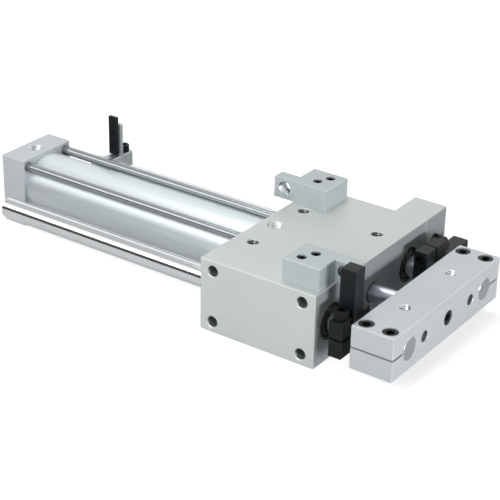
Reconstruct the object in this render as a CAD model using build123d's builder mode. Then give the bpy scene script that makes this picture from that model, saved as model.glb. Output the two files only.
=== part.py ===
from build123d import *
import os

os.makedirs("parts", exist_ok=True)

# Guided pneumatic linear actuator, in millimetres.
# A tie-rod air cylinder has a wide bearing block for its front head. Two guide rods run in the block,
# beside the cylinder, and carry the tooling plate together with the piston rod.
# +X is the way the plate extends and +Z is up. The origin is the centre of the block's underside.
# The plate stands drawn in as far as the shock absorber's plunger, which is out.

# Travel and fits
stroke = 200.0
piston_end_gap = 0.25
sliding_fit = 0.05
moving_gap = 0.3

# Bearing block
housing_length = 108.7
housing_width = 169.0
housing_height = 64.0
edge_break = 0.55

# Tapped holes in the block and the plate. Those in the tops and undersides meet and run through.
tapped_r = 4.76
tapped_depth = 14.0
thread_lead = 0.9
plate_thread_lead = 0.4
top_hole_front_inset = 19.7
top_hole_pitch_x = 71.7
top_hole_rod_inset = 23.0
side_hole_front_inset = 12.55
side_hole_pitch_x = 84.3
side_hole_pitch_z = 45.4
port_r = 6.5
port_depth = 14.0
port_drill_r = 4.5
port_rear_inset = 14.0

# Guide rods and their bearings
guide_inset = 24.7
guide_rod_r = 9.525
guide_rod_tail = 16.9
rod_end_break = 1.0
bearing_r = 15.875
bearing_length = 41.275
bearing_shell_wall = 2.6
bearing_groove_inset = 4.5
bearing_groove_width = 1.3
bearing_groove_depth = 0.6
bearing_land_r = 13.0
wiper_length = 3.5
wiper_back_r = 12.0
ring_thickness = 1.3
ring_recess = 1.8
ring_seat_depth = 0.8
ring_play = 0.15
ring_bore_r = 14.0
ring_offset = 0.6
ring_lug_r = 2.3
ring_lug_hole_r = 0.9
ring_lug_angle = 13.0
ring_gap = 1.4

# Cylinder
tube_inset = 2.6
tube_wall = 3.2
spigot_length = 8.0
spigot_fit = 0.1
spigot_bevel = 0.6
tube_seal_width = 2.6
tube_seal_depth = 1.9
chamber_r = 12.0
front_chamber_depth = 34.0
cap_length = 25.6
cap_side_inset = 0.8
cap_wall = 6.0
cap_port_inset = 13.5
tie_rod_r = 3.97
tie_rod_inset = 7.4
tie_rod_thread = 20.0
tie_rod_clearance = 0.5
tie_nut_r = 5.5
tie_nut_length = 8.0
tie_nut_play = 0.2
tie_nut_socket_r = 3.0
tie_nut_socket_depth = 3.5

# Piston rod with its bushing and seals
rod_r = 7.94
rod_relief = 0.5
bushing_r = 11.0
bushing_length = 35.0
rod_seal_length = 7.0
rod_seal_lip = 0.9
seal_lip = 1.4
retainer_length = 3.0
rod_wiper_r = 8.8
rod_wiper_depth = 5.0

# Piston
piston_length = 15.0
piston_gap = 0.3
piston_seal_width = 3.0
piston_seal_depth = 3.0
piston_seal_inset = 1.2
wear_band_width = 4.2
wear_band_depth = 1.6
piston_shank_r = 6.0
piston_nut_r = 9.5
piston_nut_length = 7.0

# Tooling plate
plate_gap = 32.0
plate_thickness = 37.2
plate_height = 37.6
plate_slit = 1.6
plate_screw_r = 3.97
plate_screw_side_inset = 9.0
plate_screw_front_inset = 8.5
plate_screw_pitch = 20.8
plate_screw_sink = 8.5
plate_screw_length = 26.0
head_play = 0.45
centre_screw_r = 3.97
centre_screw_sink = 11.0
centre_screw_length = 46.0
centre_tap_spare = 3.0
plate_top_hole_rod_inset = 23.7
plate_top_hole_front_inset = 19.0
plate_front_hole_rod_inset = 23.2
plate_front_hole_depth = 12.0

# Clamp collars on the guide rods
clamp_gap = 11.55
clamp_thickness = 12.3
clamp_height = 31.0
clamp_slit = 1.6
clamp_break = 0.7
clamp_screw_r = 3.97
clamp_screw_length = 26.0
stop_ear_reach = 23.3
stop_back_reach = 16.3
stop_screw_reach = 15.75
bar_reach = 54.5
bar_ear_side = 9.6
bar_width = 13.0
bar_thickness = 13.5
target_ear_reach = 18.5
target_back_reach = 15.3
target_screw_reach = 13.2
target_clamp_screw_r = 3.175

# Target on the rear collar
upright_near_side = 1.5
upright_thickness = 3.5
upright_reach = 46.4
target_thickness = 3.3
target_width = 8.8
target_set_back = 2.8
target_foot = 16.8
target_height = 36.7
target_screw_r = 1.6
target_screw_length = 6.0
target_screw_low = 26.0
target_screw_high = 39.0

# Switch brackets on the block
bracket_length = 34.0
bracket_width = 33.2
bracket_height = 19.0
arm_length = 18.5
arm_width = 11.3
switch_hole_r = 6.0
switch_hole_reach = 8.2
switch_hole_height = 10.0
far_bracket_overhang = 0.8
far_bracket_side_inset = 5.0
near_bracket_front_inset = 2.3
near_bracket_side_inset = 7.8
bracket_screw_spots = [(17.1, 12.4), (22.9, 23.5)]
bracket_screw_r = 2.4
bracket_screw_sink = 9.0
bracket_screw_length = 20.0

# Shock absorber and its block
shock_block_length = 31.0
shock_block_width = 34.2
shock_screw_grip = 12.0
shock_screw_pitch = 40.0
shock_inset = 15.3
shock_r = 6.35
shock_front = 8.6
shock_bore_r = 4.2
shock_nose_length = 8.0
shock_oil_length = 31.7
shock_tail_wall = 6.0
shock_nut_r = 9.525
shock_nut_length = 5.0
shock_nut_bevel = 1.2
shock_ring_r = 9.4
shock_ring_length = 4.2
plunger_r = 2.5
plunger_head_length = 4.0
plunger_travel = 6.0

# Proportions of a socket head cap screw, as multiples of the thread's radius
head_ratio = 1.5
head_height_ratio = 2.0
socket_ratio = 0.78
socket_depth_ratio = 1.1
head_break = 0.4

# Places worked out from the sizes above
axis_z = housing_height / 2
front_x = housing_length / 2
rear_x = -front_x
plate_width = housing_width
guide_y = housing_width / 2 - guide_inset
guide_axes = [(-guide_y, axis_z), (guide_y, axis_z)]
rod_axis = [(0, axis_z)]
cap_width = housing_height - 2 * cap_side_inset
bore_r = cap_width / 2 - tube_inset - tube_wall
tie_rod_reach = axis_z - tie_rod_inset
top_hole_pitch_y = 2 * (guide_y - top_hole_rod_inset)
plate_top_hole_pitch = 2 * (guide_y - plate_top_hole_rod_inset)
plate_front_hole_pitch = 2 * (guide_y - plate_front_hole_rod_inset)
plate_screw_y = plate_width / 2 - plate_screw_side_inset
far_bracket_inner_y = housing_width / 2 - far_bracket_side_inset - bracket_width
near_bracket_inner_y = housing_width / 2 - near_bracket_side_inset - bracket_width
bearing_depth = ring_recess + ring_thickness + wiper_length
retract_reserve = plunger_travel + piston_end_gap
tube_length = stroke + piston_length + 2 * spigot_length + retract_reserve + piston_end_gap
cap_front_x = rear_x - tube_length
cap_rear_x = cap_front_x - cap_length
piston_rear_x = cap_front_x + spigot_length + retract_reserve
piston_front_x = piston_rear_x + piston_length
chamber_x = rear_x + front_chamber_depth
rod_seal_x = chamber_x
bushing_x = rod_seal_x + rod_seal_length
plate_rear_x = front_x + plate_gap
plate_front_x = plate_rear_x + plate_thickness
plate_top_z = axis_z + plate_height / 2
clamp_x = front_x + clamp_gap
target_x = rear_x - far_bracket_overhang - stroke - moving_gap
guide_rod_rear_x = target_x - clamp_thickness - guide_rod_tail
plunger_tip_x = clamp_x - moving_gap
shock_z = axis_z + bar_ear_side - bar_width / 2
tie_rod_axes = [
    (y * tie_rod_reach, axis_z + z * tie_rod_reach) for y in (-1, 1) for z in (-1, 1)
]
top_hole_mid_x = front_x - top_hole_front_inset - top_hole_pitch_x / 2
side_hole_mid_x = front_x - side_hole_front_inset - side_hole_pitch_x / 2
shock_screw_x = front_x - side_hole_front_inset
shock_y = housing_width / 2 + shock_inset
shock_axis = [(shock_y, shock_z)]
shock_front_x = front_x + shock_front
shock_cavity_length = moving_gap + plunger_head_length + plunger_travel + shock_oil_length
shock_length = shock_nose_length + shock_cavity_length + shock_tail_wall
target_mid_x = target_x - target_set_back - target_width / 2


def turn(outline, x, spots, inward=1, mode=Mode.ADD):
    """Turns an outline of (depth from x, radius) points about an axis along X at each (y, z) spot."""
    for y, z in spots:
        start = Plane(origin=(x, y, z), x_dir=(inward, 0, 0), z_dir=(0, -inward, 0))
        with BuildSketch(start) as profile:
            with BuildLine():
                Polyline(*outline, close=True)
            make_face()
        revolve(profile.sketch, axis=Axis((0, y, z), (1, 0, 0)), mode=mode)


def sleeve(length, outer_r, inner_r, bevel=0.3):
    """The outline of a plain sleeve, or of a rod when inner_r is 0, with bevelled outer corners."""
    return [
        (0, inner_r),
        (0, outer_r - bevel),
        (bevel, outer_r),
        (length - bevel, outer_r),
        (length, outer_r - bevel),
        (length, inner_r),
    ]


def grooved(length, outer_r, inner_r, grooves, bevel=0.3):
    """The outline of a sleeve with square grooves, each given as (start, width, depth)."""
    points = [(0, inner_r), (0, outer_r - bevel), (bevel, outer_r)]
    for start, width, depth in grooves:
        points.append((start, outer_r))
        points.append((start, outer_r - depth))
        points.append((start + width, outer_r - depth))
        points.append((start + width, outer_r))
    return points + [(length - bevel, outer_r), (length, outer_r - bevel), (length, inner_r)]


def tapped_holes(face, pitch_u, pitch_v, count_u, count_v, centre, depth, lead):
    """Cuts chamfered holes into a face, in a grid about a point of its plane."""
    with Locations(face):
        with Locations(centre):
            with GridLocations(pitch_u, pitch_v, count_u, count_v):
                CounterSinkHole(tapped_r, tapped_r + lead, depth, 90)


def port(face, centre, floor_depth):
    """Cuts a chamfered air port into a face, with a smaller drilling on down to the chamber."""
    with Locations(face):
        with Locations(centre):
            CounterSinkHole(port_r, port_r + thread_lead, port_depth, 90)
            Hole(port_drill_r, floor_depth)


def seats_on(face, spots):
    """A plane at each of some points of a face, for the screws that seat or enter there."""
    return [
        Plane(origin=face.from_local_coords((u, v, 0)), x_dir=face.x_dir, z_dir=face.z_dir)
        for u, v in spots
    ]


def screw_holes(seats, radius, length):
    """Cuts plain holes into the faces that the seats lie on."""
    with Locations(*seats):
        Hole(radius, length)


def cap_screws(seats, thread_r, length):
    """Socket head cap screws, each with the underside of its head on a seat."""
    head_r = head_ratio * thread_r
    head_height = head_height_ratio * thread_r
    with BuildPart() as screws:
        with BuildSketch(*seats):
            Circle(thread_r)
        extrude(amount=-length)
        with BuildSketch(*seats):
            Circle(head_r)
        extrude(amount=head_height - head_break)
        with BuildSketch(*[seat.offset(head_height - head_break) for seat in seats]):
            Circle(head_r)
        extrude(amount=head_break, taper=45)
        with BuildSketch(*[seat.offset(head_height) for seat in seats]):
            RegularPolygon(socket_ratio * thread_r, 6, major_radius=False)
        extrude(amount=-socket_depth_ratio * thread_r, mode=Mode.SUBTRACT)
    return screws


def clamp_seat(rod_plane, screw_reach):
    """The plane under the head of a clamp's screw."""
    middle = rod_plane.from_local_coords((-screw_reach, clamp_height / 2, clamp_thickness / 2))
    return Plane(origin=middle, x_dir=rod_plane.x_dir, z_dir=rod_plane.y_dir)


def clamp_opening(rod_plane, ear_reach, screw_reach, screw_r):
    """Cuts the bore, the slit and the screw hole of a clamp that is split on its plane's -x side."""
    with BuildSketch(rod_plane) as opening:
        Circle(guide_rod_r)
        with Locations((-ear_reach / 2, 0)):
            Rectangle(ear_reach, clamp_slit)
    extrude(opening.sketch, amount=bar_thickness, mode=Mode.SUBTRACT)
    screw_holes([clamp_seat(rod_plane, screw_reach)], screw_r, clamp_height)


def stop_collar(rod_plane):
    """A clamp collar with a long bar: the plane lies on its rear face, with its y along the bar."""
    with BuildPart() as collar:
        with BuildSketch(rod_plane):
            with Locations(((stop_back_reach - stop_ear_reach) / 2, 0)):
                Rectangle(stop_back_reach + stop_ear_reach, clamp_height)
        extrude(amount=clamp_thickness)
        chamfer(collar.edges().filter_by(Axis.X, reverse=True), length=clamp_break)
        with BuildSketch(rod_plane):
            with Locations((bar_width / 2 - bar_ear_side, bar_reach / 2)):
                Rectangle(bar_width, bar_reach)
        extrude(amount=bar_thickness)
        bar_end = collar.faces().sort_by(Axis(rod_plane.origin, rod_plane.y_dir))[-1]
        chamfer(bar_end.edges(), length=clamp_break)
        clamp_opening(rod_plane, stop_ear_reach, stop_screw_reach, clamp_screw_r)
    return collar


def bracket_base(x, y, forward):
    """The plane under a bracket, from its block's inner corner, with its arm on the -x side."""
    return Plane(origin=(x, y, housing_height), x_dir=(-forward, 0, 0), z_dir=(0, 0, 1))


def bracket_seats(base):
    """The seats of a bracket's two screws, at the bottom of their counterbores."""
    return seats_on(base.offset(bracket_height - bracket_screw_sink), bracket_screw_spots)


def switch_bracket(base):
    """A bracket whose block is screwed down and whose arm holds a switch."""
    with BuildPart() as bracket:
        with BuildSketch(base):
            with Locations((bracket_length / 2, bracket_width / 2)):
                Rectangle(bracket_length, bracket_width)
            with Locations((-arm_length / 2, arm_width / 2)):
                Rectangle(arm_length, arm_width)
        extrude(amount=bracket_height)
        chamfer(bracket.faces().sort_by(Axis.Z)[-1].edges(), length=clamp_break)
        mouth = Plane(
            origin=base.from_local_coords((-switch_hole_reach, 0, switch_hole_height)),
            x_dir=base.x_dir,
            z_dir=-base.y_dir,
        )
        screw_holes([mouth], switch_hole_r, arm_width)
        with Locations(*bracket_seats(base)):
            Hole(bracket_screw_r, bracket_height)
        with BuildSketch(*bracket_seats(base)):
            Circle(head_ratio * bracket_screw_r + head_play)
        extrude(amount=bracket_screw_sink, mode=Mode.SUBTRACT)
    return bracket


def face_plane(x, y, z, x_dir, z_dir):
    """A plane on a face of a piece, looking out of it."""
    return Plane(origin=(x, y, z), x_dir=x_dir, z_dir=z_dir)


near_stop_plane = Plane(origin=(clamp_x, -guide_y, axis_z), x_dir=(0, 1, 0), z_dir=(1, 0, 0))
far_stop_plane = Plane(origin=(clamp_x, guide_y, axis_z), x_dir=(0, 0, -1), z_dir=(1, 0, 0))
target_plane = Plane(origin=(target_x, guide_y, axis_z), x_dir=(0, -1, 0), z_dir=(-1, 0, 0))
far_bracket_base = bracket_base(rear_x - far_bracket_overhang, far_bracket_inner_y, -1)
near_bracket_base = bracket_base(front_x - near_bracket_front_inset, -near_bracket_inner_y, 1)
shock_screw_seats = seats_on(
    face_plane(0, housing_width / 2 + shock_block_width, 0, (-1, 0, 0), (0, 1, 0)),
    [(-shock_screw_x, axis_z + side * shock_screw_pitch / 2) for side in (-1, 1)],
)
tie_rod_seats = seats_on(face_plane(rear_x, 0, 0, (0, -1, 0), (-1, 0, 0)), tie_rod_axes)
tie_nut_seats = seats_on(face_plane(cap_rear_x, 0, 0, (0, -1, 0), (-1, 0, 0)), tie_rod_axes)
plate_top = Plane.XY.offset(plate_top_z)
plate_front = Plane.YZ.offset(plate_front_x)
plate_screw_spots = [
    (plate_front_x - plate_screw_front_inset - back, side * plate_screw_y)
    for back in (0, plate_screw_pitch)
    for side in (-1, 1)
]
upright_far_y = guide_y + upright_near_side + upright_thickness
target_screw_seats = seats_on(
    face_plane(target_mid_x, upright_far_y, axis_z, (-1, 0, 0), (0, 1, 0)),
    [(0, target_screw_low), (0, target_screw_high)],
)
spigot_outline = grooved(
    spigot_length,
    bore_r - spigot_fit,
    0,
    [((spigot_length - tube_seal_width) / 2, tube_seal_width, tube_seal_depth)],
    spigot_bevel,
)
# The block is bored from both ends for the bearings, with a land between them.
# Its rear face carries the spigot that the tube fits over, and four tie-rod holes.
with BuildPart() as housing:
    with BuildSketch(Plane.YZ.offset(rear_x)):
        with Locations((0, axis_z)):
            Rectangle(housing_width, housing_height)
    extrude(amount=housing_length)
    chamfer(housing.edges(), length=edge_break)
    turn(spigot_outline, rear_x, rod_axis, -1)
    ring_start = ring_recess + ring_thickness
    bearing_bore = [
        (0, 0),
        (0, bearing_r + edge_break),
        (edge_break, bearing_r),
        (ring_recess, bearing_r),
        (ring_recess, bearing_r + ring_seat_depth),
        (ring_start, bearing_r + ring_seat_depth),
        (ring_start, bearing_r),
        (bearing_depth + bearing_length, bearing_r),
        (bearing_depth + bearing_length, 0),
    ]
    turn(bearing_bore, front_x, guide_axes, -1, Mode.SUBTRACT)
    turn(bearing_bore, rear_x, guide_axes, 1, Mode.SUBTRACT)
    with BuildSketch(Plane.YZ.offset(rear_x)):
        with Locations(*guide_axes):
            Circle(bearing_land_r)
    extrude(amount=housing_length, mode=Mode.SUBTRACT)
    rod_bore = [
        (0, 0),
        (0, rod_wiper_r),
        (rod_wiper_depth, rod_wiper_r),
        (rod_wiper_depth, rod_r + rod_relief),
        (front_x - bushing_x - bushing_length, rod_r + rod_relief),
        (front_x - bushing_x - bushing_length, bushing_r),
        (front_x - chamber_x, bushing_r),
        (front_x - chamber_x, chamber_r),
        (housing_length + spigot_length, chamber_r),
        (housing_length + spigot_length, 0),
    ]
    turn(rod_bore, front_x, rod_axis, -1, Mode.SUBTRACT)
    screw_holes(tie_rod_seats, tie_rod_r, tie_rod_thread)
    screw_holes(bracket_seats(far_bracket_base), bracket_screw_r, bracket_screw_length)
    screw_holes(bracket_seats(near_bracket_base), bracket_screw_r, bracket_screw_length)
    housing_top = Plane.XY.offset(housing_height)
    housing_bottom = Plane.XY.rotated((180, 0, 0))
    top_holes = (top_hole_pitch_x, top_hole_pitch_y, 2, 2, (top_hole_mid_x, 0), axis_z, thread_lead)
    tapped_holes(housing_top, *top_holes)
    tapped_holes(housing_bottom, *top_holes)
    near_side = Plane.XZ.offset(housing_width / 2)
    side_holes = (side_hole_pitch_x, side_hole_pitch_z, 2, 2, (side_hole_mid_x, axis_z))
    tapped_holes(near_side, *side_holes, tapped_depth, thread_lead)
    screw_holes(shock_screw_seats, tapped_r, shock_block_width + tapped_depth)
    port(housing_top, (rear_x + port_rear_inset, 0), axis_z)
housing.part.label = "housing"
export_step(housing.part, "parts/housing.step")

with BuildPart() as rear_cap:
    with BuildSketch(Plane.YZ.offset(cap_rear_x)):
        with Locations((0, axis_z)):
            Rectangle(cap_width, housing_height)
    extrude(amount=cap_length)
    chamfer(rear_cap.edges(), length=edge_break)
    turn(spigot_outline, cap_front_x, rod_axis)
    cap_bore_depth = spigot_length + cap_length - cap_wall
    cap_bore = [(0, 0), (0, chamber_r), (cap_bore_depth, chamber_r), (cap_bore_depth, 0)]
    turn(cap_bore, cap_front_x + spigot_length, rod_axis, -1, Mode.SUBTRACT)
    screw_holes(tie_nut_seats, tie_rod_r + tie_rod_clearance, cap_length)
    screw_holes(tie_nut_seats, tie_nut_r + tie_nut_play, tie_nut_length)
    port(Plane.XY.offset(housing_height), (cap_front_x - cap_port_inset, 0), axis_z)
rear_cap.part.label = "rear_cap"
export_step(rear_cap.part, "parts/rear_cap.step")

with BuildPart() as cylinder_tube:
    turn(sleeve(tube_length, bore_r + tube_wall, bore_r), cap_front_x, rod_axis)
cylinder_tube.part.label = "cylinder_tube"
export_step(cylinder_tube.part, "parts/cylinder_tube.step")

# The tie rods screw into the block and are drawn up by round nuts sunk in the cap.
with BuildPart() as tie_rods:
    tie_rod_rear_x = cap_rear_x + tie_nut_socket_depth
    turn(sleeve(rear_x + tie_rod_thread - tie_rod_rear_x, tie_rod_r, 0), tie_rod_rear_x, tie_rod_axes)
tie_rods.part.label = "tie_rods"
export_step(tie_rods.part, "parts/tie_rods.step")

with BuildPart() as tie_rod_nuts:
    turn(sleeve(tie_nut_length, tie_nut_r, 0), cap_rear_x, tie_rod_axes)
    with BuildSketch(*[seat.offset(-tie_nut_length) for seat in tie_nut_seats]):
        Circle(tie_rod_r)
    extrude(amount=tie_nut_length - tie_nut_socket_depth, mode=Mode.SUBTRACT)
    with BuildSketch(*tie_nut_seats):
        RegularPolygon(tie_nut_socket_r, 6, major_radius=False)
    extrude(amount=-tie_nut_socket_depth, mode=Mode.SUBTRACT)
tie_rod_nuts.part.label = "tie_rod_nuts"
export_step(tie_rod_nuts.part, "parts/tie_rod_nuts.step")

with BuildPart() as tube_seals:
    tube_seal_inset = (spigot_length - tube_seal_width) / 2
    tube_seal_outline = sleeve(
        tube_seal_width, bore_r - sliding_fit, bore_r - spigot_fit - tube_seal_depth, spigot_bevel
    )
    turn(tube_seal_outline, rear_x - tube_seal_inset, rod_axis, -1)
    turn(tube_seal_outline, cap_front_x + tube_seal_inset, rod_axis)
tube_seals.part.label = "tube_seals"
export_step(tube_seals.part, "parts/tube_seals.step")

# Each guide rod runs in two bearings, which a wiper and a retaining ring hold against the land.
with BuildPart() as bearing_shells:
    shell_grooves = [
        (bearing_groove_inset, bearing_groove_width, bearing_groove_depth),
        (
            bearing_length - bearing_groove_inset - bearing_groove_width,
            bearing_groove_width,
            bearing_groove_depth,
        ),
    ]
    shell_outline = grooved(bearing_length, bearing_r, bearing_r - bearing_shell_wall, shell_grooves)
    turn(shell_outline, front_x - bearing_depth, guide_axes, -1)
    turn(shell_outline, rear_x + bearing_depth, guide_axes)
bearing_shells.part.label = "bearing_shells"
export_step(bearing_shells.part, "parts/bearing_shells.step")

with BuildPart() as bearing_liners:
    liner_outline = sleeve(bearing_length, bearing_r - bearing_shell_wall, guide_rod_r + sliding_fit)
    turn(liner_outline, front_x - bearing_depth, guide_axes, -1)
    turn(liner_outline, rear_x + bearing_depth, guide_axes)
bearing_liners.part.label = "bearing_liners"
export_step(bearing_liners.part, "parts/bearing_liners.step")

with BuildPart() as bearing_wipers:
    wiper_outline = [
        (0, guide_rod_r + sliding_fit),
        (0, bearing_r),
        (wiper_length, bearing_r),
        (wiper_length, wiper_back_r),
        (seal_lip, wiper_back_r),
        (seal_lip, guide_rod_r + sliding_fit),
    ]
    turn(wiper_outline, front_x - ring_recess - ring_thickness, guide_axes, -1)
    turn(wiper_outline, rear_x + ring_recess + ring_thickness, guide_axes)
bearing_wipers.part.label = "bearing_wipers"
export_step(bearing_wipers.part, "parts/bearing_wipers.step")

# A retaining ring is widest at the bottom and open at the top, between its two lugs.
with BuildPart() as retaining_rings:
    ring_planes = [
        Plane(origin=(x, y, z), x_dir=(0, 1, 0), z_dir=(1, 0, 0))
        for x in (rear_x + ring_recess, front_x - ring_recess - ring_thickness)
        for y, z in guide_axes
    ]
    with BuildSketch(*ring_planes):
        Circle(bearing_r + ring_seat_depth - ring_play)
        with Locations((0, ring_offset)):
            Circle(ring_bore_r, mode=Mode.SUBTRACT)
        with PolarLocations(
            bearing_r - ring_play - ring_lug_r,
            2,
            start_angle=90 - ring_lug_angle,
            angular_range=2 * ring_lug_angle,
            endpoint=True,
        ):
            Circle(ring_lug_r)
            Circle(ring_lug_hole_r, mode=Mode.SUBTRACT)
        with Locations((0, bearing_r)):
            Rectangle(ring_gap, 2 * ring_lug_r, mode=Mode.SUBTRACT)
    extrude(amount=ring_thickness)
retaining_rings.part.label = "retaining_rings"
export_step(retaining_rings.part, "parts/retaining_rings.step")

with BuildPart() as rod_bushing:
    turn(sleeve(bushing_length, bushing_r, rod_r + sliding_fit), bushing_x, rod_axis)
rod_bushing.part.label = "rod_bushing"
export_step(rod_bushing.part, "parts/rod_bushing.step")

with BuildPart() as rod_seal:
    rod_seal_outline = [
        (0, rod_r + sliding_fit),
        (0, rod_r + rod_seal_lip),
        (rod_seal_length / 2, (rod_r + bushing_r) / 2),
        (0, bushing_r - rod_seal_lip),
        (0, bushing_r),
        (rod_seal_length, bushing_r),
        (rod_seal_length, rod_r + sliding_fit),
    ]
    turn(rod_seal_outline, rod_seal_x, rod_axis)
rod_seal.part.label = "rod_seal"
export_step(rod_seal.part, "parts/rod_seal.step")

with BuildPart() as seal_retainer:
    turn(sleeve(retainer_length, chamber_r, rod_r + rod_relief), chamber_x - retainer_length, rod_axis)
seal_retainer.part.label = "seal_retainer"
export_step(seal_retainer.part, "parts/seal_retainer.step")

with BuildPart() as rod_wiper:
    rod_wiper_outline = [
        (0, rod_r + sliding_fit),
        (0, rod_wiper_r),
        (rod_wiper_depth, rod_wiper_r),
        (rod_wiper_depth, rod_r + rod_relief),
        (seal_lip, rod_r + rod_relief),
        (seal_lip / 2, rod_r + sliding_fit),
    ]
    turn(rod_wiper_outline, front_x, rod_axis, -1)
rod_wiper.part.label = "rod_wiper"
export_step(rod_wiper.part, "parts/rod_wiper.step")

near_switch_bracket = switch_bracket(near_bracket_base)
near_switch_bracket.part.label = "near_switch_bracket"
export_step(near_switch_bracket.part, "parts/near_switch_bracket.step")

far_switch_bracket = switch_bracket(far_bracket_base)
far_switch_bracket.part.label = "far_switch_bracket"
export_step(far_switch_bracket.part, "parts/far_switch_bracket.step")

all_bracket_seats = bracket_seats(near_bracket_base) + bracket_seats(far_bracket_base)
bracket_screws = cap_screws(all_bracket_seats, bracket_screw_r, bracket_screw_length)
bracket_screws.part.label = "bracket_screws"
export_step(bracket_screws.part, "parts/bracket_screws.step")

# The shock absorber stands in a block bolted to the far side of the bearing block.
with BuildPart() as shock_block:
    with BuildSketch(Plane.YZ.offset(front_x)):
        with Locations((housing_width / 2 + shock_block_width / 2, axis_z)):
            Rectangle(shock_block_width, housing_height)
    extrude(amount=-shock_block_length)
    chamfer(shock_block.edges(), length=edge_break)
    with BuildSketch(Plane.YZ.offset(front_x)):
        with Locations(*shock_axis):
            Circle(shock_r)
    extrude(amount=-shock_block_length, mode=Mode.SUBTRACT)
    screw_holes(shock_screw_seats, tapped_r, shock_block_width)
shock_block.part.label = "shock_block"
export_step(shock_block.part, "parts/shock_block.step")

shock_block_screws = cap_screws(shock_screw_seats, tapped_r, shock_block_width + shock_screw_grip)
shock_block_screws.part.label = "shock_block_screws"
export_step(shock_block_screws.part, "parts/shock_block_screws.step")

with BuildPart() as shock_body:
    turn(sleeve(shock_length, shock_r, 0), shock_front_x, shock_axis, -1)
    shock_cavity = [
        (0, 0),
        (0, plunger_r + sliding_fit),
        (shock_nose_length, plunger_r + sliding_fit),
        (shock_nose_length, shock_bore_r),
        (shock_nose_length + shock_cavity_length, shock_bore_r),
        (shock_nose_length + shock_cavity_length, 0),
    ]
    turn(shock_cavity, shock_front_x, shock_axis, -1, Mode.SUBTRACT)
shock_body.part.label = "shock_body"
export_step(shock_body.part, "parts/shock_body.step")

with BuildPart() as shock_locknut:
    with BuildSketch(Plane.YZ.offset(front_x)):
        with Locations(*shock_axis):
            RegularPolygon(shock_nut_r, 6, major_radius=False, rotation=30)
    extrude(amount=shock_nut_length)
    nut_corner_r = 2 * shock_nut_r / 3**0.5
    nut_outline = sleeve(shock_nut_length, nut_corner_r, shock_r, shock_nut_bevel)
    turn(nut_outline, front_x, shock_axis, 1, Mode.INTERSECT)
shock_locknut.part.label = "shock_locknut"
export_step(shock_locknut.part, "parts/shock_locknut.step")

with BuildPart() as shock_ring_nut:
    ring_nut_x = front_x + shock_nut_length
    turn(sleeve(shock_ring_length, shock_ring_r, shock_r), ring_nut_x, shock_axis)
shock_ring_nut.part.label = "shock_ring_nut"
export_step(shock_ring_nut.part, "parts/shock_ring_nut.step")

with BuildPart() as shock_plunger:
    plunger_rod_length = plunger_tip_x - shock_front_x + shock_nose_length + moving_gap
    plunger_length = plunger_rod_length + plunger_head_length
    plunger_outline = [
        (0, 0),
        (0, plunger_r - head_break),
        (head_break, plunger_r),
        (plunger_rod_length, plunger_r),
        (plunger_rod_length, shock_bore_r - sliding_fit),
        (plunger_length, shock_bore_r - sliding_fit),
        (plunger_length, 0),
    ]
    turn(plunger_outline, plunger_tip_x, shock_axis, -1)
shock_plunger.part.label = "shock_plunger"
export_step(shock_plunger.part, "parts/shock_plunger.step")

# The plate is split from each end to its guide rod and clamps it with two screws.
with BuildPart() as tooling_plate:
    with BuildSketch(Plane.YZ.offset(plate_rear_x)):
        with Locations((0, axis_z)):
            Rectangle(plate_width, plate_height)
    extrude(amount=plate_thickness)
    chamfer(tooling_plate.edges(), length=edge_break)
    with BuildSketch(Plane.YZ.offset(plate_rear_x)):
        with Locations(*guide_axes):
            Circle(guide_rod_r)
        slit_length = plate_width / 2 - guide_y
        with Locations((-guide_y - slit_length / 2, axis_z), (guide_y + slit_length / 2, axis_z)):
            Rectangle(slit_length, plate_slit)
    extrude(amount=plate_thickness, mode=Mode.SUBTRACT)
    screw_holes(seats_on(plate_top, plate_screw_spots), plate_screw_r, plate_height)
    plate_head_r = head_ratio * plate_screw_r + head_play
    screw_holes(seats_on(plate_top, plate_screw_spots), plate_head_r, plate_screw_sink)
    screw_holes(seats_on(plate_front, rod_axis), centre_screw_r, plate_thickness)
    centre_head_r = head_ratio * centre_screw_r + head_play
    screw_holes(seats_on(plate_front, rod_axis), centre_head_r, centre_screw_sink)
    top_hole_x = plate_front_x - plate_top_hole_front_inset
    plate_bottom = face_plane(0, 0, axis_z - plate_height / 2, (1, 0, 0), (0, 0, -1))
    plate_top_holes = (0, plate_top_hole_pitch, 1, 2, (top_hole_x, 0), plate_height / 2, plate_thread_lead)
    tapped_holes(plate_top, *plate_top_holes)
    tapped_holes(plate_bottom, *plate_top_holes)
    plate_front_holes = (plate_front_hole_pitch, 0, 2, 1, (0, axis_z))
    tapped_holes(plate_front, *plate_front_holes, plate_front_hole_depth, plate_thread_lead)
tooling_plate.part.label = "tooling_plate"
export_step(tooling_plate.part, "parts/tooling_plate.step")

plate_screw_seats = seats_on(plate_top.offset(-plate_screw_sink), plate_screw_spots)
plate_clamp_screws = cap_screws(plate_screw_seats, plate_screw_r, plate_screw_length)
plate_clamp_screws.part.label = "plate_clamp_screws"
export_step(plate_clamp_screws.part, "parts/plate_clamp_screws.step")

centre_seats = seats_on(plate_front.offset(-centre_screw_sink), rod_axis)
plate_centre_screw = cap_screws(centre_seats, centre_screw_r, centre_screw_length)
plate_centre_screw.part.label = "plate_centre_screw"
export_step(plate_centre_screw.part, "parts/plate_centre_screw.step")

guide_rod_outline = sleeve(plate_front_x - guide_rod_rear_x, guide_rod_r, 0, rod_end_break)
with BuildPart() as near_guide_rod:
    turn(guide_rod_outline, guide_rod_rear_x, guide_axes[:1])
near_guide_rod.part.label = "near_guide_rod"
export_step(near_guide_rod.part, "parts/near_guide_rod.step")

with BuildPart() as far_guide_rod:
    turn(guide_rod_outline, guide_rod_rear_x, guide_axes[1:])
far_guide_rod.part.label = "far_guide_rod"
export_step(far_guide_rod.part, "parts/far_guide_rod.step")

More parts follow.
